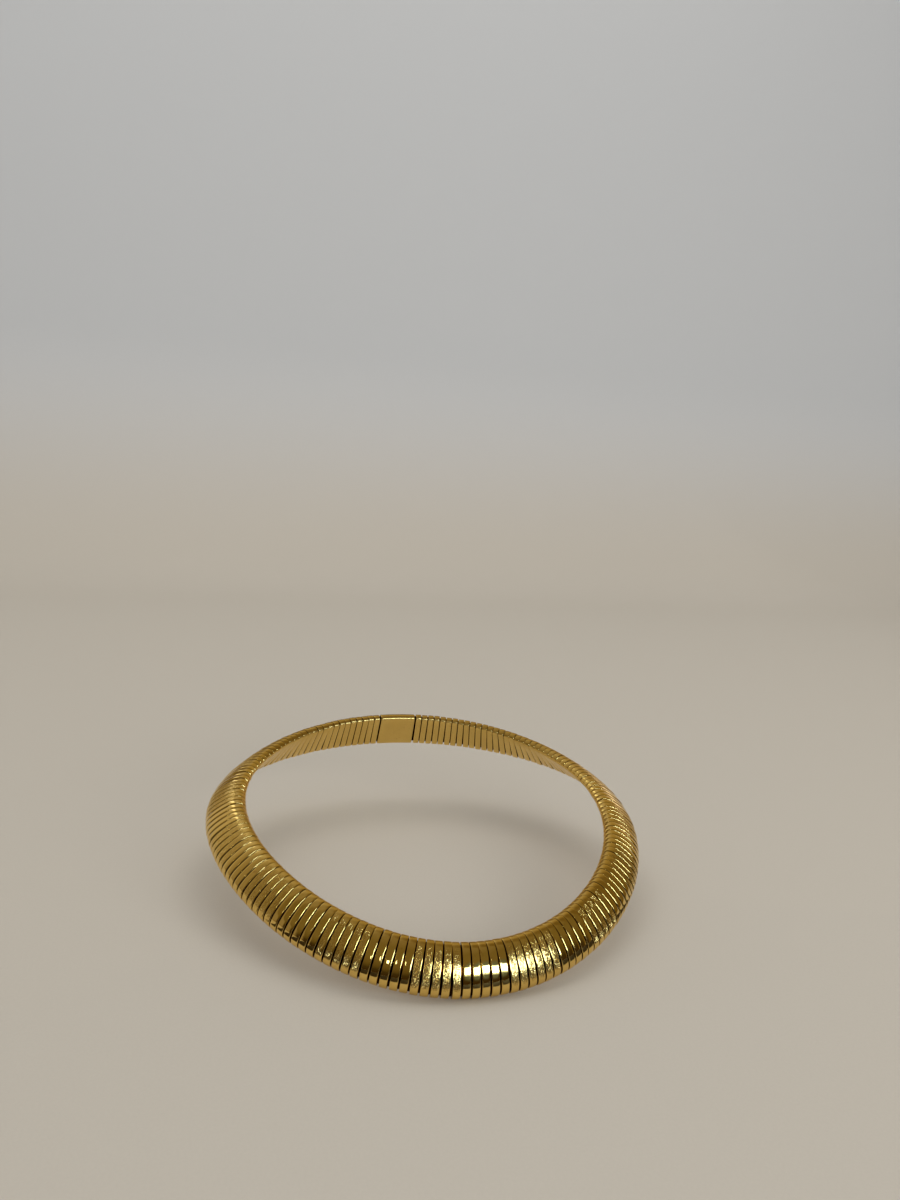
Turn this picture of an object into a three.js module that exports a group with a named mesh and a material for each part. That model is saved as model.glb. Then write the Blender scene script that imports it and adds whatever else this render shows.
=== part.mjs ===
// A collar necklace of domed links that fan round the neck and are joined by a clasp at the nape.
// Millimetres, +Z up, throat towards -Y. The origin is the middle of the neck opening.
import * as THREE from "three";

// The loop is the closed line that the links are threaded on: a rounded oval seen from above,
// low at the throat and high at the nape.
const LOOP_WIDTH = 131;
const LOOP_DEPTH = 131;
const LOOP_FULLNESS = 0.012; // share by which the oval swells between its four ends
const SIDE_SETBACK = 7; // how far the widest place lies behind the middle
const THROAT_FALL = 24.5; // how far the throat lies below the nape
const THROAT_DIP = 0.09; // share of the fall that is gathered at the throat and the nape
const SIDE_RISE = 4.5; // how far the sides stand above the middle height

// The links lean back on the shoulders: degrees that their domes look up from level.
const END_LEAN = 27;
const SIDE_LEAN = 56;

// The links' section is a D: a flat back, edges that curl under and a dome.
const BAND_WIDTH = 14;
const BAND_THICKNESS = 4.7;
const BACK_SET = 2.4; // the flat back lies this far inside the loop
const EDGE_CURL = 0.9; // height of the curled edges above the flat back
const EDGE_TUCK = 0.9; // how far each edge turns in under the dome
const DOME_POWER = 2.5; // 2 is an ellipse, more is squarer
const DOME_FACETS = 8;
const BACK_FACETS = 2;

// Links and the grooves between them.
const LINK_PITCH = 2.5;
const GROOVE_WIDTH = 0.4;
const GROOVE_DEPTH = 0.6;

// The clasp, and the gap that each piece keeps to the next.
const CLASP_LENGTH = 14;
const CLASP_CHAMFER = 0.5;
const CLASP_STEPS = 5;
const PIECE_GAP = 0.3;

const GOLD = 0xc79a45;
const UP = new THREE.Vector3(0, 0, 1);

// The turn runs from 0 at the nape round the left side, the throat and the right side to 1 at the nape.
class NecklaceLoop extends THREE.Curve {
  getPoint(turn, target = new THREE.Vector3()) {
    const angle = Math.PI * (2 * turn - 1);
    const sine = Math.sin(angle);
    const cosine = Math.cos(angle);
    const side = sine * sine;
    const across = sine + LOOP_FULLNESS * (Math.sin(3 * angle) + sine);
    const along = cosine + LOOP_FULLNESS * (Math.cos(3 * angle) - cosine);
    const fall = cosine + THROAT_DIP * (Math.cos(3 * angle) - cosine);
    return target.set(
      LOOP_WIDTH / 2 * across,
      -LOOP_DEPTH / 2 * along + SIDE_SETBACK * side,
      -THROAT_FALL / 2 * fall + SIDE_RISE * side,
    );
  }
}

const loop = new NecklaceLoop();
loop.arcLengthDivisions = 2000;
const loopLength = loop.getLength();

// The section's outline, drawn in by an inset on every side: x across the band, y outwards.
function sectionOutline(inset) {
  const halfWidth = BAND_WIDTH / 2 - inset;
  const backWidth = halfWidth - EDGE_TUCK;
  const back = inset - BACK_SET;
  const curl = EDGE_CURL - BACK_SET;
  const domeHeight = BAND_THICKNESS - EDGE_CURL - inset;
  const outline = [];
  for (let i = 0; i <= DOME_FACETS; i += 1) {
    const across = Math.cos(Math.PI * i / DOME_FACETS);
    const height = (1 - Math.abs(across) ** DOME_POWER) ** (1 / DOME_POWER);
    outline.push(new THREE.Vector2(halfWidth * across, curl + domeHeight * height));
  }
  for (let i = 0; i <= BACK_FACETS; i += 1) {
    outline.push(new THREE.Vector2(backWidth * (2 * i / BACK_FACETS - 1), back));
  }
  return outline;
}

// The section at a distance along the loop, as points of the necklace.
function sectionAt(distance, inset) {
  const turn = distance / loopLength;
  const centre = loop.getPointAt(turn);
  const tangent = loop.getTangentAt(turn);
  const level = new THREE.Vector3().crossVectors(tangent, UP).normalize();
  const rise = new THREE.Vector3().crossVectors(level, tangent).normalize();
  const side = (centre.x / (LOOP_WIDTH / 2)) ** 2;
  const lean = THREE.MathUtils.degToRad(END_LEAN + (SIDE_LEAN - END_LEAN) * Math.min(side, 1));
  const outwards = level.clone().multiplyScalar(Math.cos(lean)).addScaledVector(rise, Math.sin(lean));
  const across = rise.clone().multiplyScalar(Math.cos(lean)).addScaledVector(level, -Math.sin(lean));
  return sectionOutline(inset).map((point) => (
    centre.clone().addScaledVector(across, point.x).addScaledVector(outwards, point.y)
  ));
}

// Joins a row of sections into one closed body, with a flat face at each end.
function loft(sections) {
  const count = sections[0].length;
  const positions = sections.flat().flatMap((point) => point.toArray());
  const faces = [];
  for (let row = 0; row + 1 < sections.length; row += 1) {
    for (let i = 0; i < count; i += 1) {
      const next = (i + 1) % count;
      const here = row * count;
      const ahead = here + count;
      faces.push(here + i, here + next, ahead + next);
      faces.push(here + i, ahead + next, ahead + i);
    }
  }
  const last = (sections.length - 1) * count;
  for (let i = 1; i + 1 < count; i += 1) {
    faces.push(0, i + 1, i);
    faces.push(last, last + i, last + i + 1);
  }
  const geometry = new THREE.BufferGeometry();
  geometry.setAttribute("position", new THREE.Float32BufferAttribute(positions, 3));
  geometry.setIndex(faces);
  geometry.computeVertexNormals();
  return geometry;
}

// A run of links between two distances along the loop, as many as fit at about the named pitch.
function linkRun(start, end) {
  const count = Math.round((end - start) / LINK_PITCH);
  const pitch = (end - start) / count;
  const sections = [];
  for (let link = 0; link < count; link += 1) {
    const near = start + link * pitch;
    if (link > 0) {
      sections.push(sectionAt(near, GROOVE_DEPTH));
    }
    sections.push(sectionAt(link > 0 ? near + GROOVE_WIDTH / 2 : near, 0));
    sections.push(sectionAt(link + 1 < count ? near + pitch - GROOVE_WIDTH / 2 : end, 0));
  }
  return loft(sections);
}

// The plain clasp, centred on the nape, where the distance along the loop starts again.
function claspBody() {
  const half = CLASP_LENGTH / 2;
  const sections = [sectionAt(loopLength - half, CLASP_CHAMFER)];
  for (let step = 0; step <= CLASP_STEPS; step += 1) {
    const distance = (CLASP_LENGTH - 2 * CLASP_CHAMFER) * (step / CLASP_STEPS) + CLASP_CHAMFER - half;
    sections.push(sectionAt((distance + loopLength) % loopLength, 0));
  }
  sections.push(sectionAt(half, CLASP_CHAMFER));
  return loft(sections);
}

function piece(name, geometry, roughness) {
  const material = new THREE.MeshStandardMaterial({ color: GOLD, roughness, metalness: 1 });
  const mesh = new THREE.Mesh(geometry, material);
  mesh.name = name;
  return mesh;
}

const throat = loopLength / 2;
const claspEnd = CLASP_LENGTH / 2 + PIECE_GAP;

const necklace = new THREE.Group();
necklace.add(
  piece("links_right", linkRun(throat + PIECE_GAP / 2, loopLength - claspEnd), 0.25),
  piece("links_left", linkRun(claspEnd, throat - PIECE_GAP / 2), 0.25),
  piece("clasp", claspBody(), 0.3),
);

export default necklace;
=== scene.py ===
import math

import bmesh
import bpy
import numpy as np
from mathutils import Matrix, Quaternion, Vector


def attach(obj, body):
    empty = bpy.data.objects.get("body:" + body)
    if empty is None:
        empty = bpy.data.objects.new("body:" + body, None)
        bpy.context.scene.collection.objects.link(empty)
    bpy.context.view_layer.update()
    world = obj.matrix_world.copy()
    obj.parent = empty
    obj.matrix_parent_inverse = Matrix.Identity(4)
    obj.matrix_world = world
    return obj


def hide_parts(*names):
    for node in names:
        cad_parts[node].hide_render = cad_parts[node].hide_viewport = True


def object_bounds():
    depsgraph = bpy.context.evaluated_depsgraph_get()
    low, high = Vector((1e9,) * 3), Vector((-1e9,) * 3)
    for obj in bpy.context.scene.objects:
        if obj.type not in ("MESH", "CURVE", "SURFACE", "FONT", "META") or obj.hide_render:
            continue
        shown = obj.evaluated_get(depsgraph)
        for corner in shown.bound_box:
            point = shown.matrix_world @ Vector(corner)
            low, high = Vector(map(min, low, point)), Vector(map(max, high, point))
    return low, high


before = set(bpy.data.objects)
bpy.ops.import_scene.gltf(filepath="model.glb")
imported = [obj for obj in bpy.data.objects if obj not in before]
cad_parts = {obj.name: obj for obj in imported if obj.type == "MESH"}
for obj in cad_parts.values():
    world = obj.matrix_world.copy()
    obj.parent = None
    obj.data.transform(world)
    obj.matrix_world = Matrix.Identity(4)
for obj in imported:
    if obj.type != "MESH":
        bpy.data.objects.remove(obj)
cad_low, cad_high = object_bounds()

MM = 0.001
UP = Vector((0, 0, 1))

# The loop that the links are threaded on, and the lean of the links, as in the part.
LOOP_WIDTH = 131 * MM
LOOP_DEPTH = 131 * MM
LOOP_FULLNESS = 0.012
SIDE_SETBACK = 7 * MM
THROAT_FALL = 24.5 * MM
THROAT_DIP = 0.09
SIDE_RISE = 4.5 * MM
END_LEAN = math.radians(27)
SIDE_LEAN = math.radians(56)

# The links' D section, as in the part.
BAND_WIDTH = 14 * MM
BAND_THICKNESS = 4.7 * MM
BACK_SET = 2.4 * MM
EDGE_CURL = 0.9 * MM
EDGE_TUCK = 0.9 * MM
DOME_POWER = 2.5
LINKS_EACH_SIDE = 80
CLASP_LENGTH = 14 * MM
CLASP_GAP = 0.3 * MM
CLASP_ROUND = 0.5 * MM
CLASP_ROUND_STEPS = 5
CLASP_STEPS = 6

# One link along the loop: a sunk lip, a crisp rear edge, a slightly crowned top and a rounded front
# edge, which looks to the throat and lies over the lip of the next link.
CROWN_RADIUS = 15 * MM
REAR_START = 0.90 * MM
REAR_RADIUS = 0.06 * MM
REAR_TURNS = (0, 35, 70)  # degrees
FRONT_START = 0.92 * MM
FRONT_RADIUS = 0.29 * MM
FRONT_TURNS = (6, 18, 30, 42, 54, 66, 76)
LIP_INSET = 0.72 * MM
REAR_LIP = 1.95 * MM
FRONT_LIP = 1.3 * MM
FRONT_LIP_INSET = 0.82 * MM
# Insets at which the shade painted into the gaps between links starts and is full; the second is also the
# inset of the walls at a link's ends.
GROOVE_START = 0.20 * MM
GROOVE_END = 0.28 * MM
PLAIN_DOME_STEPS = 30
CURL_STEPS = 3
BACK_STEPS = 4

# The cross-cut engraving: crossing cuts that leave small flat diamonds over the middle of the dome.
DIAMOND_COLUMNS = 9
DIAMOND_REAR = 0.88 * MM  # how far the engraving reaches from the middle of a link
DIAMOND_FRONT = 0.88 * MM
CUT_WIDTH = 0.04 * MM
CUT_DEPTH = 0.026 * MM
CUT_UNEVEN = 0.35  # share by which the depth of the cuts varies
RIM_CUT_SHARE = 0.4  # share of the depth that the cuts have at the engraving's rim
FACET_UNEVEN = 0.009 * MM
ENGRAVED_SHARE = 0.78  # of the half width
ENGRAVED_DOME_STEPS = 62
ENGRAVED_PATTERNS = 5

# Links in each run from the throat outwards, plain and engraved in turn. Past these, runs have five.
RIGHT_RUNS = (3, 6)
LEFT_RUNS = (2, 5, 5, 5, 6)
LATER_RUN = 5

# Hand-made unevenness of the links.
SEED = 11
TILT = math.radians(0.45)
SHIFT = 0.02 * MM
TONE_RANGE = 50  # depth of the noise in which each link has its own slice of hairlines

# The gold plate: its tones, the shade painted dark into its grooves, the roughness of its edges, inside
# and grooves, and its hairlines.
PLATE_DEEP = (0.78, 0.52, 0.14, 1)
PLATE_PALE = (0.84, 0.575, 0.165, 1)
PLATE_SPECKS = (0.70, 0.43, 0.11, 1)
# Painted shade: the dark brown that the gold turns deep in the gaps between links.
GROOVE_SHADE_TONE = (0.12, 0.055, 0.012, 1)
EDGE_ROUGHNESS = 0.1
INSIDE_ROUGHNESS = 0.3
GROOVE_ROUGHNESS = 0.12
HAIRLINE_STRETCH = (5, 0.25, 1)
HAIRLINE_SCALE = 1.3
HAIRLINE_DEPTH = 0.004 * MM
CLOUD_SCALE = 70
SPECK_SCALE = 900
WAVE_SCALE = 260

# The photograph's camera. Pixels are those of the 900 by 1200 picture.
PICTURE_WIDTH = 900
PICTURE_HEIGHT = 1200
FOCAL_PIXELS = 901
AIM_ACROSS = 428.65  # where the middle of the neck opening is seen
AIM_DOWN = 823.47
CAMERA_DISTANCE = 305.5 * MM
CAMERA_AZIMUTH = math.radians(-13.73)
CAMERA_ELEVATION = math.radians(23.2)
CAMERA_ROLL = math.radians(3.51)
SENSOR = 36

# The studio, in metres.
FLOOR_DROP = 0.0002
FLOOR_FRONT = -3.0
FLOOR_BACK = 0.55
FLOOR_HALF = 2.6
SWEEP_RADIUS = 0.25
SWEEP_HEIGHT = 1.9
FLOOR_TONE = (0.63, 0.575, 0.49, 1)
FLOOR_STRIP = 0.05
WALL_TONE = (0.71, 0.725, 0.74, 1)
PAPER_ROUGHNESS = 0.85
PAPER_SHEEN = 0.2
GRAIN_SCALE = 1400
GRAIN_SHARE = 0.06
GRAIN_DEPTH = 0.05 * MM
GRAIN_STRENGTH = 0.4
CARD_TONE = (0.03, 0.02, 0.01, 1)
CARD_FIRST = -65  # azimuths in degrees
CARD_LAST = 74
CARD_INNER = 0.085
CARD_OUTER = 1.5

# What the gold mirrors in the room, from the sine of the height upwards, and round the window.
FRONT_ROOM = (
    (0.02, (0.045, 0.028, 0.010, 1)),
    (0.16, (0.05, 0.036, 0.014, 1)),
    (0.32, (0.13, 0.10, 0.04, 1)),
    (0.50, (0.185, 0.15, 0.075, 1)),
    (0.78, (0.18, 0.145, 0.07, 1)),
    (1.0, (0.24, 0.20, 0.13, 1)),
)
GLOW = (0.14, 0.18, 0.21, 1)
GLOW_PLACE = (20, 19)  # azimuth and elevation in degrees
GLOW_FLATNESS = (0.45, 0.6, 1.0)
GLOW_START = 0.10
GLOW_END = 0.23
BEHIND_SPREAD = 0.3
HIGH_SPAN = (0.3, 0.55)  # along Z, where low turns to high
BEHIND_SPAN = (-0.08, 0.06)  # along Y, where the front turns to the rear
FAR_SPAN = (0.25, 0.65)  # along Y, where near turns to far
DIM_SPAN = (0.80, 0.93)  # along Y, where the rear turns dim
RIGHT_SPAN = (-0.15, 0.35)  # along X, where the left turns to the right
LEFT_NEAR = (0.29, 0.25, 0.18, 1)
LEFT_FAR = (0.49, 0.46, 0.40, 1)
RIGHT_NEAR = (0.165, 0.12, 0.045, 1)
WARM_LOW = (0.43, 0.345, 0.21, 1)
WARM_HIGH = (0.36, 0.29, 0.15, 1)
REAR_DIM = (0.17, 0.125, 0.065, 1)
STUDIO_TONE = (0.52, 0.52, 0.52, 1)


def loop_points(turns):
    """Points of the loop at turns from 0 at the nape, past the left side and the throat, to 1."""
    angle = math.pi * (2 * turns - 1)
    sine = np.sin(angle)
    cosine = np.cos(angle)
    side = sine * sine
    across = sine + LOOP_FULLNESS * (np.sin(3 * angle) + sine)
    along = cosine + LOOP_FULLNESS * (np.cos(3 * angle) - cosine)
    fall = cosine + THROAT_DIP * (np.cos(3 * angle) - cosine)
    return np.stack(
        [
            LOOP_WIDTH / 2 * across,
            -LOOP_DEPTH / 2 * along + SIDE_SETBACK * side,
            -THROAT_FALL / 2 * fall + SIDE_RISE * side,
        ],
        axis=-1,
    )


TURNS = np.linspace(0, 1, 8001)
STEPS = np.linalg.norm(np.diff(loop_points(TURNS), axis=0), axis=1)
DISTANCES = np.concatenate([[0], np.cumsum(STEPS)])
LOOP_LENGTH = DISTANCES[-1]


def loop_point(distance):
    turn = np.interp(distance % LOOP_LENGTH, DISTANCES, TURNS)
    return Vector(loop_points(turn))


def place_on_loop(distance):
    """Matrix from a link's own axes, X along the loop, Y across the band and Z outwards, to its place."""
    centre = loop_point(distance)
    step = 0.05 * MM
    tangent = (loop_point(distance + step) - loop_point(distance - step)).normalized()
    level = tangent.cross(UP).normalized()
    rise = level.cross(tangent).normalized()
    side = min((centre.x / (LOOP_WIDTH / 2)) ** 2, 1)
    lean = END_LEAN + (SIDE_LEAN - END_LEAN) * side
    outwards = level * math.cos(lean) + rise * math.sin(lean)
    across = rise * math.cos(lean) - level * math.sin(lean)
    return Matrix.Translation(centre) @ Matrix((tangent, across, outwards)).transposed().to_4x4()


def dome_line(steps):
    """Evenly spaced points (across, outwards) over the dome, from its lower edge to its upper edge."""
    share = -np.cos(np.linspace(0, math.pi, 2001))
    height = (1 - np.abs(share) ** DOME_POWER) ** (1 / DOME_POWER)
    across = BAND_WIDTH / 2 * share
    outwards = EDGE_CURL - BACK_SET + (BAND_THICKNESS - EDGE_CURL) * height
    run = np.concatenate([[0], np.cumsum(np.hypot(np.diff(across), np.diff(outwards)))])
    even = np.linspace(0, run[-1], steps + 1)
    return list(zip(np.interp(even, run, across), np.interp(even, run, outwards)))


def curl_and_back():
    """Points (across, outwards) from the dome's upper edge round the curls and the flat back."""
    line = []
    for step in range(1, CURL_STEPS + 1):
        turn = math.pi / 2 * step / CURL_STEPS
        across = BAND_WIDTH / 2 - EDGE_TUCK * (1 - math.cos(turn))
        line.append((across, EDGE_CURL * (1 - math.sin(turn)) - BACK_SET))
    half_back = BAND_WIDTH / 2 - EDGE_TUCK
    for step in range(1, BACK_STEPS):
        line.append((half_back * (1 - 2 * step / BACK_STEPS), -BACK_SET))
    return line + [(-across, outwards) for across, outwards in reversed(line[:CURL_STEPS])]


def draw_section(bm, dome_steps):
    """A closed ring of edges in the shape of the D section, with the attributes that the finishes and the
    painted groove shade read.
    """
    place = bm.verts.layers.float_vector.new("link_place")
    finish_and_shade = bm.verts.layers.float_vector.new("link_shade_and_finish")
    line = dome_line(dome_steps) + curl_and_back()
    ring = bmesh.ops.create_circle(bm, segments=len(line), radius=BAND_WIDTH / 2)["verts"]
    run = 0.0
    for number, (vert, (across, outwards)) in enumerate(zip(ring, line)):
        spot = Vector((0, across, outwards))
        if number:
            run += (spot - ring[number - 1].co).length
        vert.co = spot
        vert[place] = (0, run / MM, 0)
        vert[finish_and_shade] = (0, 1 if number > dome_steps else 0, 0)
    return ring


def draw_out(bm, ring, stations):
    """Extrudes the ring through (along, inset) stations and closes both ends."""
    place = bm.verts.layers.float_vector["link_place"]
    finish_and_shade = bm.verts.layers.float_vector["link_shade_and_finish"]
    half_width = BAND_WIDTH / 2
    half_height = BAND_THICKNESS / 2
    middle = Matrix.Translation((0, 0, BACK_SET - half_height))
    first = ring
    edges = bm.edges[:]
    was_along = was_inset = 0.0
    for number, (along, inset) in enumerate(stations):
        if number:
            made = bmesh.ops.extrude_edge_only(bm, edges=edges)["geom"]
            ring = [part for part in made if isinstance(part, bmesh.types.BMVert)]
            edges = [part for part in made if isinstance(part, bmesh.types.BMEdge)]
        size = (
            1,
            (half_width - inset) / (half_width - was_inset),
            (half_height - inset) / (half_height - was_inset),
        )
        bmesh.ops.scale(bm, vec=size, space=middle, verts=ring)
        bmesh.ops.translate(bm, vec=(along - was_along, 0, 0), verts=ring)
        # How deep the ring lies in the groove, which sets the shade painted there.
        depth = min(max((inset - GROOVE_START) / (GROOVE_END - GROOVE_START), 0), 1)
        for vert in ring:
            vert[place] = (along / MM, vert[place].y, 0)
            vert[finish_and_shade] = (depth, vert[finish_and_shade].y, 0)
        was_along, was_inset = along, inset
    first_edges = [edge for edge in bm.edges if all(vert in set(first) for vert in edge.verts)]
    bmesh.ops.edgeloop_fill(bm, edges=first_edges)
    bmesh.ops.edgeloop_fill(bm, edges=edges)
    bmesh.ops.recalc_face_normals(bm, faces=bm.faces)


def rounded(start, radius, turns):
    """Stations (distance from the middle, inset) where a link's top turns down by some degrees."""
    turns = [math.radians(turn) for turn in turns]
    first = turns[0]
    return [
        (
            start + radius * (math.sin(turn) - math.sin(first)),
            radius * (math.cos(first) - math.cos(turn)),
        )
        for turn in turns
    ]


def link_stations(flat_places):
    """Stations of a link from the rear lip, over the crowned top, to the front edge and its hidden lip."""
    rear = [(-along, inset) for along, inset in reversed(rounded(REAR_START, REAR_RADIUS, REAR_TURNS))]
    front = rounded(FRONT_START, FRONT_RADIUS, FRONT_TURNS)
    top = rear + [(along, 0) for along in sorted(flat_places)] + front
    top = [(along, inset + along * along / (2 * CROWN_RADIUS)) for along, inset in top]
    rear_end = top[0][0]
    front_end = top[-1][0]
    sunk = [(-REAR_LIP, LIP_INSET), (rear_end, LIP_INSET), (rear_end, GROOVE_END)]
    front_lip = [(front_end, GROOVE_END), (front_end, FRONT_LIP_INSET), (FRONT_LIP, FRONT_LIP_INSET)]
    return sunk + top + front_lip


def mark_front_edge(bm):
    finish_and_shade = bm.verts.layers.float_vector["link_shade_and_finish"]
    for vert in bm.verts:
        if vert.co.x > FRONT_START:
            vert[finish_and_shade] = (vert[finish_and_shade].x, vert[finish_and_shade].y, 1)


def plain_link():
    bm = bmesh.new()
    ring = draw_section(bm, PLAIN_DOME_STEPS)
    draw_out(bm, ring, link_stations([-FRONT_START / 2, 0, FRONT_START / 2]))
    mark_front_edge(bm)
    for face in bm.faces:
        face.smooth = True
    return as_mesh(bm, "plain_link")


def engraving_grid(bm, column_step):
    """The verts that the engraving covers, and every second one of them, where its cuts cross."""
    place = bm.verts.layers.float_vector["link_place"]
    rows = sorted({round(vert[place].y, 4) for vert in bm.verts})
    rear_end = -(DIAMOND_REAR + REAR_START) / 2
    front_end = (DIAMOND_FRONT + FRONT_START) / 2
    patch = []
    corners = []
    for vert in bm.verts:
        on_dome = vert.co.z > 0 and abs(vert.co.y) < ENGRAVED_SHARE * BAND_WIDTH / 2
        if on_dome and rear_end < vert.co.x < front_end:
            patch.append(vert)
            column = round((vert.co.x + DIAMOND_REAR) / column_step)
            if (column + rows.index(round(vert[place].y, 4))) % 2:
                corners.append(vert)
    return patch, corners


def cut_diamonds(bm, patch, corners):
    """Turns the patch's squares into diamonds with a wall round each; gives the diamonds and walls."""
    in_patch = set(patch)
    is_corner = set(corners)
    inside = {face for face in bm.faces if in_patch.issuperset(face.verts)}
    middles = [vert for vert in patch if vert not in is_corner and inside.issuperset(vert.link_faces)]
    outside = [face for face in bm.faces if face not in inside]
    bmesh.ops.connect_verts(bm, verts=corners, faces_exclude=outside)
    bmesh.ops.dissolve_verts(bm, verts=middles)
    diamonds = [face for face in bm.faces if len(face.verts) == 4 and is_corner.issuperset(face.verts)]
    made = bmesh.ops.inset_individual(bm, faces=diamonds, thickness=CUT_WIDTH, use_even_offset=True)
    return diamonds, made["faces"]


def engraved_link(chance):
    """A link whose dome is cut crosswise into small flat diamonds, smooth towards its rims."""
    bm = bmesh.new()
    ring = draw_section(bm, ENGRAVED_DOME_STEPS)
    column_step = (DIAMOND_REAR + DIAMOND_FRONT) / DIAMOND_COLUMNS
    columns = [column_step * number - DIAMOND_REAR for number in range(DIAMOND_COLUMNS + 1)]
    draw_out(bm, ring, link_stations(columns))
    mark_front_edge(bm)
    for face in bm.faces:
        face.smooth = True
    patch, corners = engraving_grid(bm, column_step)
    bm.normal_update()
    diamonds, walls = cut_diamonds(bm, patch, corners)
    for face in diamonds + walls:
        face.smooth = False
    for vert in corners:
        share = 1 if all(face in walls for face in vert.link_faces) else RIM_CUT_SHARE
        depth = CUT_DEPTH * share * chance.uniform(1 - CUT_UNEVEN, 1 + CUT_UNEVEN)
        vert.co -= vert.normal * depth
    tops = {vert for face in diamonds for vert in face.verts}
    for vert in sorted(tops, key=lambda vert: vert.co.to_tuple(6)):
        vert.co += vert.normal * chance.normal(0, FACET_UNEVEN)
    return as_mesh(bm, "engraved_link")


def as_mesh(bm, name):
    mesh = bpy.data.meshes.new(name)
    bm.to_mesh(mesh)
    bm.free()
    return mesh


def as_piece(mesh, name, material, nodes):
    """Puts a finished mesh in the scene as a piece of the necklace."""
    mesh.name = name
    mesh.materials.append(material)
    piece = bpy.data.objects.new(name, mesh)
    bpy.context.scene.collection.objects.link(piece)
    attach(piece, "root")
    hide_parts(nodes)
    return piece


def join_links(copies):
    """One mesh with a copy of each (pattern link, matrix, tone)."""
    bm = bmesh.new()
    done = 0
    for pattern, matrix, tone in copies:
        bm.from_mesh(pattern)
        bm.verts.ensure_lookup_table()
        fresh = bm.verts[done:]
        done = len(bm.verts)
        layer = bm.verts.layers.float_vector["link_place"]
        for vert in fresh:
            vert[layer] = (vert[layer].x, vert[layer].y, tone)
        bmesh.ops.transform(bm, matrix=matrix, verts=fresh)
    return as_mesh(bm, "links")


def engraved_order(first_runs):
    """Whether each link is engraved, counted from the throat."""
    order = []
    runs = list(first_runs)
    engraved = False
    while len(order) < LINKS_EACH_SIDE:
        length = runs.pop(0) if runs else LATER_RUN
        order += [engraved] * length
        engraved = not engraved
    return order[:LINKS_EACH_SIDE]


def uneven(chance):
    """The small turn and shift that keep one link from being quite like the next."""
    turns = chance.normal(0, TILT, 3)
    shift = chance.normal(0, SHIFT, 3)
    turn = Matrix.Rotation(turns[0], 4, "X") @ Matrix.Rotation(turns[1], 4, "Y")
    return Matrix.Translation(shift) @ turn @ Matrix.Rotation(turns[2], 4, "Z")


def add_links(side, towards, first_runs, plain, engraved, chance):
    """Both kinds of links on one side; towards is 1 on the right and -1 on the left."""
    start = LOOP_LENGTH / 2
    pitch = (start - CLASP_LENGTH / 2 - CLASP_GAP) / LINKS_EACH_SIDE
    facing = Matrix.Rotation(math.pi if towards > 0 else 0, 4, "Z")
    polished = []
    cut = []
    for number, is_engraved in enumerate(engraved_order(first_runs)):
        matrix = place_on_loop(start + towards * (number + 0.5) * pitch) @ facing @ uneven(chance)
        tone = chance.uniform(0, TONE_RANGE)
        if is_engraved:
            cut.append((engraved[number % len(engraved)], matrix, tone))
        else:
            polished.append((plain, matrix, tone))
    node = "links_" + side
    as_piece(join_links(polished), "polished_links_" + side, polished_gold(), node)
    as_piece(join_links(cut), "engraved_links_" + side, engraved_gold(), node)


def add_clasp():
    """The plain clasp: the same D section drawn along the nape, rounded at both ends."""
    half = CLASP_LENGTH / 2
    straight = half - CLASP_ROUND
    turns = [math.pi / 2 * step / CLASP_ROUND_STEPS for step in range(CLASP_ROUND_STEPS + 1)]
    end = [(straight + CLASP_ROUND * math.sin(turn), CLASP_ROUND * (1 - math.cos(turn))) for turn in turns]
    stations = [(-half, LIP_INSET)]
    stations += [(-along, inset) for along, inset in reversed(end)]
    stations += [(straight * step / CLASP_STEPS, 0) for step in range(1 - CLASP_STEPS, CLASP_STEPS)]
    stations += end
    stations += [(half, LIP_INSET)]
    bm = bmesh.new()
    ring = draw_section(bm, PLAIN_DOME_STEPS)
    draw_out(bm, ring, stations)
    for vert in bm.verts:
        vert.co = place_on_loop(vert.co.x) @ Vector((0, vert.co.y, vert.co.z))
    for face in bm.faces:
        face.smooth = True
    as_piece(as_mesh(bm, "clasp_body"), "clasp_body", clasp_gold(), "clasp")


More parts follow.
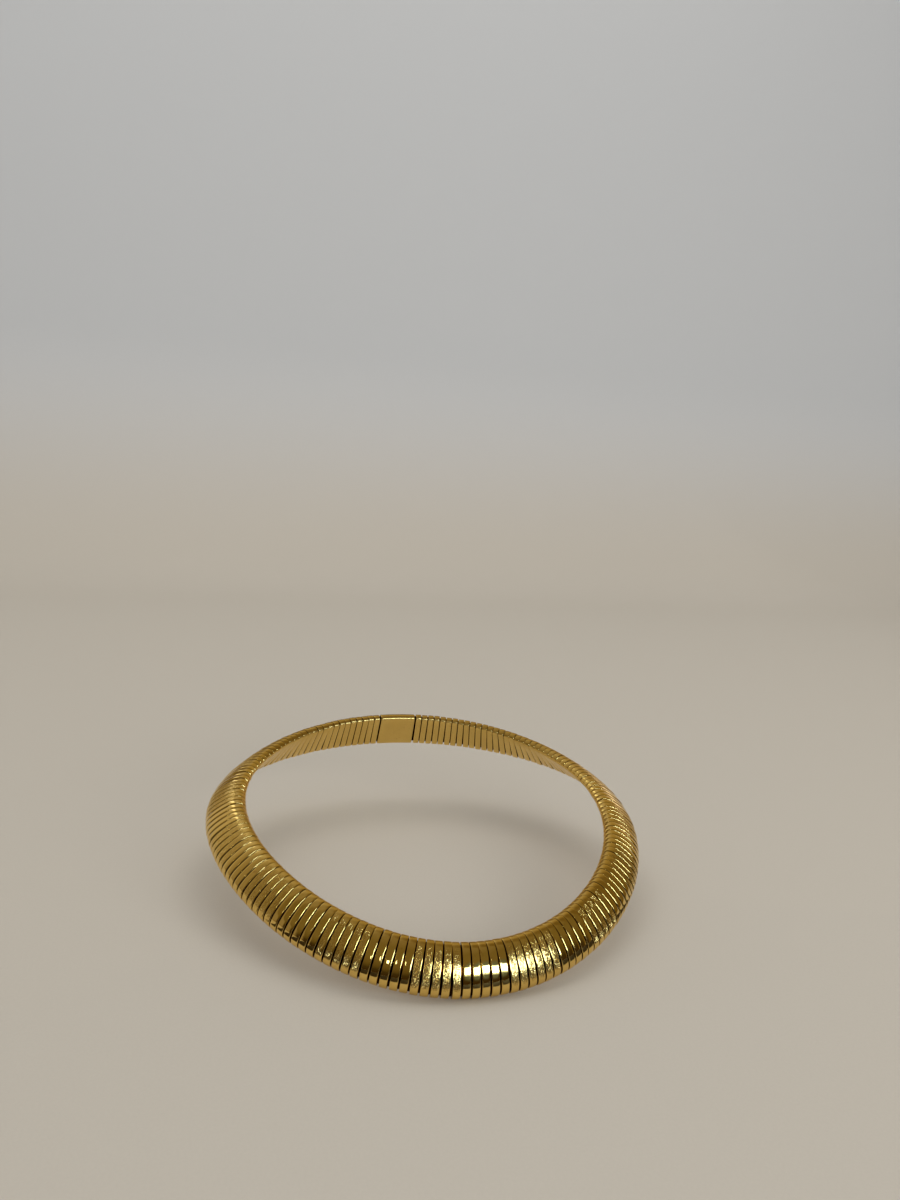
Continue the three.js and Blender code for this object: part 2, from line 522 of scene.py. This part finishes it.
def gold(name, roughness, hairline, polish_wave):
    """Gold plate with painted shade that darkens it in the grooves, duller there, with hairlines and a
    slight unevenness.
    """
    if name in bpy.data.materials:
        return bpy.data.materials[name]
    material = bpy.data.materials.new(name)
    material.use_nodes = True
    tree = material.node_tree
    shader = tree.nodes["Principled BSDF"]
    shader.inputs["Metallic"].default_value = 1

    def node(kind, **values):
        made = tree.nodes.new(kind)
        for key, value in values.items():
            setattr(made, key, value)
        return made

    def mix(kind, factor, low, high):
        made = node("ShaderNodeMix", data_type=kind)
        sockets = {"FLOAT": (0, 2, 3, 0), "RGBA": (0, 6, 7, 2)}[kind]
        for socket, value in zip(sockets[:3], (factor, low, high)):
            if isinstance(value, bpy.types.NodeSocket):
                tree.links.new(value, made.inputs[socket])
            else:
                made.inputs[socket].default_value = value
        return made.outputs[sockets[3]]

    def noise(vector, scale, detail):
        made = node("ShaderNodeTexNoise")
        made.inputs["Scale"].default_value = scale
        made.inputs["Detail"].default_value = detail
        tree.links.new(vector, made.inputs["Vector"])
        return made.outputs["Fac"]

    def ramp(value, low, high):
        made = node("ShaderNodeMapRange", interpolation_type="SMOOTHSTEP")
        tree.links.new(value, made.inputs["Value"])
        made.inputs["From Min"].default_value = low
        made.inputs["From Max"].default_value = high
        return made.outputs["Result"]

    spot = node("ShaderNodeTexCoord").outputs["Object"]
    place = node("ShaderNodeAttribute", attribute_name="link_place").outputs["Vector"]
    finish_and_shade = node("ShaderNodeAttribute", attribute_name="link_shade_and_finish").outputs["Vector"]
    parts = node("ShaderNodeSeparateXYZ")
    tree.links.new(finish_and_shade, parts.inputs["Vector"])
    # The painted groove shade, the inside and the front edge, as masks.
    groove_shade, inside, edge = parts.outputs

    stretch = node("ShaderNodeMapping")
    stretch.inputs["Scale"].default_value = HAIRLINE_STRETCH
    tree.links.new(place, stretch.inputs["Vector"])
    lines = noise(stretch.outputs["Vector"], HAIRLINE_SCALE, 4)
    clouds = noise(spot, CLOUD_SCALE, 3)
    specks = noise(spot, SPECK_SCALE, 5)

    plate = mix("RGBA", ramp(clouds, 0.3, 0.7), PLATE_DEEP, PLATE_PALE)
    plate = mix("RGBA", ramp(specks, 0.58, 0.8), plate, PLATE_SPECKS)
    # Painted shade: deep in the gaps between links the gold turns dark brown.
    plate = mix("RGBA", groove_shade, plate, GROOVE_SHADE_TONE)
    tree.links.new(plate, shader.inputs["Base Color"])

    rough = mix("FLOAT", ramp(lines, 0.35, 0.75), roughness, roughness + hairline)
    rough = mix("FLOAT", ramp(specks, 0.5, 0.75), rough, roughness + 2 * hairline)
    rough = mix("FLOAT", edge, rough, EDGE_ROUGHNESS)
    rough = mix("FLOAT", inside, rough, INSIDE_ROUGHNESS)
    rough = mix("FLOAT", groove_shade, rough, GROOVE_ROUGHNESS)
    tree.links.new(rough, shader.inputs["Roughness"])

    wave = node("ShaderNodeBump")
    wave.inputs["Strength"].default_value = 1
    wave.inputs["Distance"].default_value = polish_wave
    tree.links.new(noise(spot, WAVE_SCALE, 2), wave.inputs["Height"])
    cut = node("ShaderNodeBump")
    cut.inputs["Strength"].default_value = 1
    cut.inputs["Distance"].default_value = HAIRLINE_DEPTH
    tree.links.new(lines, cut.inputs["Height"])
    tree.links.new(wave.outputs["Normal"], cut.inputs["Normal"])
    tree.links.new(cut.outputs["Normal"], shader.inputs["Normal"])
    return material


def polished_gold():
    return gold("polished_gold", 0.035, 0.01, 0.012 * MM)


def engraved_gold():
    return gold("engraved_gold", 0.18, 0.03, 0.012 * MM)


def clasp_gold():
    return gold("clasp_gold", 0.14, 0.06, 0.02 * MM)


def paper():
    """Pale matt paper with a faint tooth, warm where it lies flat and neutral where it stands behind."""
    material = bpy.data.materials.new("paper")
    material.use_nodes = True
    tree = material.node_tree
    shader = tree.nodes["Principled BSDF"]
    shader.inputs["Roughness"].default_value = PAPER_ROUGHNESS
    shader.inputs["Specular IOR Level"].default_value = PAPER_SHEEN
    spot = tree.nodes.new("ShaderNodeTexCoord")
    grain = tree.nodes.new("ShaderNodeTexNoise")
    grain.inputs["Scale"].default_value = GRAIN_SCALE
    grain.inputs["Detail"].default_value = 3
    tree.links.new(spot.outputs["Object"], grain.inputs["Vector"])
    parts = tree.nodes.new("ShaderNodeSeparateXYZ")
    tree.links.new(spot.outputs["Object"], parts.inputs["Vector"])
    height = tree.nodes.new("ShaderNodeMapRange")
    height.interpolation_type = "SMOOTHSTEP"
    height.inputs["From Max"].default_value = SWEEP_RADIUS
    tree.links.new(parts.outputs["Z"], height.inputs["Value"])
    tone = tree.nodes.new("ShaderNodeMix")
    tone.data_type = "RGBA"
    tone.inputs[6].default_value = FLOOR_TONE
    tone.inputs[7].default_value = WALL_TONE
    tree.links.new(height.outputs["Result"], tone.inputs[0])
    shade = tree.nodes.new("ShaderNodeMix")
    shade.data_type = "RGBA"
    shade.blend_type = "MULTIPLY"
    shade.inputs[0].default_value = GRAIN_SHARE
    tree.links.new(tone.outputs[2], shade.inputs[6])
    tree.links.new(grain.outputs["Fac"], shade.inputs[7])
    tree.links.new(shade.outputs[2], shader.inputs["Base Color"])
    bump = tree.nodes.new("ShaderNodeBump")
    bump.inputs["Distance"].default_value = GRAIN_DEPTH
    bump.inputs["Strength"].default_value = GRAIN_STRENGTH
    tree.links.new(grain.outputs["Fac"], bump.inputs["Height"])
    tree.links.new(bump.outputs["Normal"], shader.inputs["Normal"])
    return material


def as_sheet(bm, name, material):
    """Puts a sheet of paper in the scene as part of the stage."""
    bmesh.ops.recalc_face_normals(bm, faces=bm.faces)
    for face in bm.faces:
        face.smooth = True
    mesh = as_mesh(bm, name)
    mesh.materials.append(material)
    sheet = bpy.data.objects.new(name, mesh)
    bpy.context.scene.collection.objects.link(sheet)
    return sheet


def add_floor():
    """The paper floor, and a sweep up to the wall behind, which the gold doesn't mirror."""
    level = cad_low.z - FLOOR_DROP
    material = paper()
    bm = bmesh.new()
    bmesh.ops.create_grid(bm, x_segments=1, y_segments=1, size=1)
    depth = FLOOR_BACK - FLOOR_STRIP - FLOOR_FRONT
    bmesh.ops.scale(bm, vec=(FLOOR_HALF, depth / 2, 1), verts=bm.verts)
    bmesh.ops.translate(bm, vec=(0, FLOOR_FRONT + depth / 2, level), verts=bm.verts)
    as_sheet(bm, "floor_sheet", material)

    bm = bmesh.new()
    corner = bm.verts.new((-FLOOR_HALF, FLOOR_BACK + SWEEP_RADIUS, level + SWEEP_HEIGHT))
    top = bm.verts.new((-FLOOR_HALF, FLOOR_BACK + SWEEP_RADIUS, level + SWEEP_RADIUS))
    bm.edges.new((corner, top))
    made = bmesh.ops.spin(
        bm,
        geom=[top],
        cent=(0, FLOOR_BACK, level + SWEEP_RADIUS),
        axis=(1, 0, 0),
        angle=-math.pi / 2,
        steps=24,
    )
    foot = [part for part in made["geom_last"] if isinstance(part, bmesh.types.BMVert)]
    drawn = bmesh.ops.extrude_vert_indiv(bm, verts=foot)
    bmesh.ops.translate(bm, vec=(0, -FLOOR_STRIP, 0), verts=drawn["verts"])
    made = bmesh.ops.extrude_edge_only(bm, edges=bm.edges)["geom"]
    far = [part for part in made if isinstance(part, bmesh.types.BMVert)]
    bmesh.ops.translate(bm, vec=(2 * FLOOR_HALF, 0, 0), verts=far)
    as_sheet(bm, "wall_sheet", material).visible_glossy = False


def direction(azimuth, elevation):
    """Azimuth from the throat's side towards the right, and elevation, in degrees."""
    a, e = math.radians(azimuth), math.radians(elevation)
    return Vector((math.sin(a) * math.cos(e), -math.cos(a) * math.cos(e), math.sin(e)))


def add_light(name, place, size, power, colour, turn=0, mirrored=True, cast=True):
    """A soft box that faces the necklace from (azimuth, elevation, distance), turned by some degrees.

    mirrored says whether the gold shows it, and cast whether it lights the paper.
    """
    azimuth, elevation, distance = place
    light = bpy.data.lights.new(name, "AREA")
    light.shape = "RECTANGLE"
    light.size, light.size_y = size
    light.energy = power
    light.color = colour
    lamp = bpy.data.objects.new(name, light)
    away = direction(azimuth, elevation)
    lamp.location = away * distance
    lamp.rotation_mode = "QUATERNION"
    lamp.rotation_quaternion = away.to_track_quat("Z", "Y") @ Quaternion((0, 0, 1), math.radians(turn))
    lamp.visible_camera = False
    lamp.visible_glossy = mirrored
    lamp.visible_diffuse = cast
    bpy.context.scene.collection.objects.link(lamp)


def add_room():
    """The warm room that the gold mirrors: dim in front, a glow round the window, paler behind."""
    world = bpy.data.worlds.new("room")
    bpy.context.scene.world = world
    world.use_nodes = True
    tree = world.node_tree
    tree.nodes.clear()

    def ramp(value, low, high):
        made = tree.nodes.new("ShaderNodeMapRange")
        made.interpolation_type = "SMOOTHSTEP"
        made.inputs["From Min"].default_value = low
        made.inputs["From Max"].default_value = high
        tree.links.new(value, made.inputs["Value"])
        return made.outputs["Result"]

    def mix(factor, low, high):
        made = tree.nodes.new("ShaderNodeMix")
        made.data_type = "RGBA"
        for socket, value in ((0, factor), (6, low), (7, high)):
            if isinstance(value, bpy.types.NodeSocket):
                tree.links.new(value, made.inputs[socket])
            else:
                made.inputs[socket].default_value = value
        return made.outputs[2]

    def reckon(operation, first, second):
        made = tree.nodes.new("ShaderNodeMath")
        made.operation = operation
        tree.links.new(first, made.inputs[0])
        if isinstance(second, bpy.types.NodeSocket):
            tree.links.new(second, made.inputs[1])
        else:
            made.inputs[1].default_value = second
        return made.outputs["Value"]

    def background(colour):
        made = tree.nodes.new("ShaderNodeBackground")
        if isinstance(colour, bpy.types.NodeSocket):
            tree.links.new(colour, made.inputs["Color"])
        else:
            made.inputs["Color"].default_value = colour
        return made.outputs["Background"]

    way = tree.nodes.new("ShaderNodeTexCoord").outputs["Generated"]
    parts = tree.nodes.new("ShaderNodeSeparateXYZ")
    tree.links.new(way, parts.inputs["Vector"])
    x, y, z = parts.outputs

    front = tree.nodes.new("ShaderNodeValToRGB")
    tree.links.new(z, front.inputs["Fac"])
    stops = front.color_ramp.elements
    stops[0].position, stops[0].color = FRONT_ROOM[0]
    stops[1].position, stops[1].color = FRONT_ROOM[-1]
    for place, colour in FRONT_ROOM[1:-1]:
        stops.new(place).color = colour

    offset = tree.nodes.new("ShaderNodeVectorMath")
    offset.operation = "SUBTRACT"
    tree.links.new(way, offset.inputs[0])
    offset.inputs[1].default_value = direction(*GLOW_PLACE)
    flat = tree.nodes.new("ShaderNodeVectorMath")
    flat.operation = "MULTIPLY"
    tree.links.new(offset.outputs["Vector"], flat.inputs[0])
    flat.inputs[1].default_value = GLOW_FLATNESS
    far = tree.nodes.new("ShaderNodeVectorMath")
    far.operation = "LENGTH"
    tree.links.new(flat.outputs["Vector"], far.inputs[0])
    room = mix(ramp(far.outputs["Value"], GLOW_START, GLOW_END), GLOW, front.outputs["Color"])

    high = ramp(z, *HIGH_SPAN)
    lift = reckon("MULTIPLY", reckon("SUBTRACT", high, 1), -BEHIND_SPREAD)
    behind = ramp(reckon("ADD", y, lift), *BEHIND_SPAN)
    right = ramp(x, *RIGHT_SPAN)
    near = mix(right, LEFT_NEAR, RIGHT_NEAR)
    rear = mix(ramp(y, *FAR_SPAN), near, mix(right, LEFT_FAR, mix(high, WARM_LOW, WARM_HIGH)))
    rear = mix(ramp(y, *DIM_SPAN), rear, REAR_DIM)
    room = mix(behind, room, rear)

    path = tree.nodes.new("ShaderNodeLightPath")
    plainly = reckon("MAXIMUM", path.outputs["Is Camera Ray"], path.outputs["Is Diffuse Ray"])
    choice = tree.nodes.new("ShaderNodeMixShader")
    tree.links.new(plainly, choice.inputs["Fac"])
    tree.links.new(background(room), choice.inputs[1])
    tree.links.new(background(STUDIO_TONE), choice.inputs[2])
    out = tree.nodes.new("ShaderNodeOutputWorld")
    tree.links.new(choice.outputs["Shader"], out.inputs["Surface"])


def add_dark_card():
    """A dark card that lies in front of the necklace and shows only in the gold's mirror image."""
    bm = bmesh.new()
    level = cad_low.z - FLOOR_DROP / 2
    inner = bm.verts.new(direction(CARD_FIRST, 0) * CARD_INNER)
    outer = bm.verts.new(direction(CARD_FIRST, 0) * CARD_OUTER)
    edge = bm.edges.new((inner, outer))
    bmesh.ops.spin(
        bm,
        geom=[inner, outer, edge],
        cent=(0, 0, 0),
        axis=UP,
        angle=math.radians(CARD_LAST - CARD_FIRST),
        steps=24,
    )
    bmesh.ops.translate(bm, vec=(0, 0, level), verts=bm.verts)
    material = bpy.data.materials.new("dark_card")
    material.use_nodes = True
    shader = material.node_tree.nodes["Principled BSDF"]
    shader.inputs["Base Color"].default_value = CARD_TONE
    shader.inputs["Roughness"].default_value = 0.9
    card = as_sheet(bm, "dark_card", material)
    card.visible_camera = False
    card.visible_diffuse = False
    card.visible_shadow = False


def add_lights():
    """The window and lamps that the gold mirrors, and the two lights that fall on the paper."""
    add_light("window", (21.5, 18.3, 1.2), (0.9, 0.11), 6.8, (0.5, 0.66, 1.0), turn=-8, cast=False)
    add_light("window_rim", (22, 18, 1.3), (1.1, 0.19), 1.0, (0.6, 0.74, 1.0), turn=-8, cast=False)
    add_light("lamp", (-27, 26, 1.2), (0.06, 0.05), 0.12, (0.8, 0.9, 1.0), cast=False)
    add_light("rear_window", (-158, 32, 1.0), (0.12, 0.5), 0.2, (0.9, 0.97, 1.0), cast=False)
    add_light("side_lamp", (138, 6, 0.9), (0.25, 0.12), 0.075, (1.0, 0.95, 0.9), cast=False)
    add_light("front_fill", (27, 24, 1.2), (1.0, 0.4), 4, (1.0, 0.99, 0.96), mirrored=False)
    add_light("overhead", (180, 68, 1.3), (1.3, 1.3), 6.0, (1.0, 0.99, 0.97), mirrored=False)


def add_camera():
    """The camera that the photograph was taken with, fitted to the collar's outline and link gaps."""
    back = direction(math.degrees(CAMERA_AZIMUTH), math.degrees(CAMERA_ELEVATION))
    right = Vector((math.cos(CAMERA_AZIMUTH), math.sin(CAMERA_AZIMUTH), 0))
    straight = Matrix((right, (-back).cross(right), -back))
    aim = Vector(
        (
            (AIM_ACROSS - PICTURE_WIDTH / 2) / FOCAL_PIXELS,
            (AIM_DOWN - PICTURE_HEIGHT / 2) / FOCAL_PIXELS,
            1,
        )
    )
    swing = UP.rotation_difference(aim).to_matrix()
    seen = swing @ Matrix.Rotation(CAMERA_ROLL, 3, "Z") @ straight
    lens = bpy.data.cameras.new("camera")
    lens.sensor_width = SENSOR
    lens.lens = FOCAL_PIXELS * SENSOR / PICTURE_HEIGHT
    lens.clip_start = 0.01
    camera = bpy.data.objects.new("camera", lens)
    turn = Matrix((seen[0], -seen[1], -seen[2])).transposed()
    camera.matrix_world = Matrix.Translation(back * CAMERA_DISTANCE) @ turn.to_4x4()
    bpy.context.scene.collection.objects.link(camera)
    bpy.context.scene.camera = camera


chance = np.random.default_rng(SEED)
plain = plain_link()
engraved = [engraved_link(chance) for number in range(ENGRAVED_PATTERNS)]
add_links("right", 1, RIGHT_RUNS, plain, engraved, chance)
add_links("left", -1, LEFT_RUNS, plain, engraved, chance)
add_clasp()
for pattern in [plain] + engraved:
    bpy.data.meshes.remove(pattern)

add_camera()
add_floor()
add_dark_card()
add_room()
add_lights()
bpy.context.scene.view_settings.view_transform = "Standard"
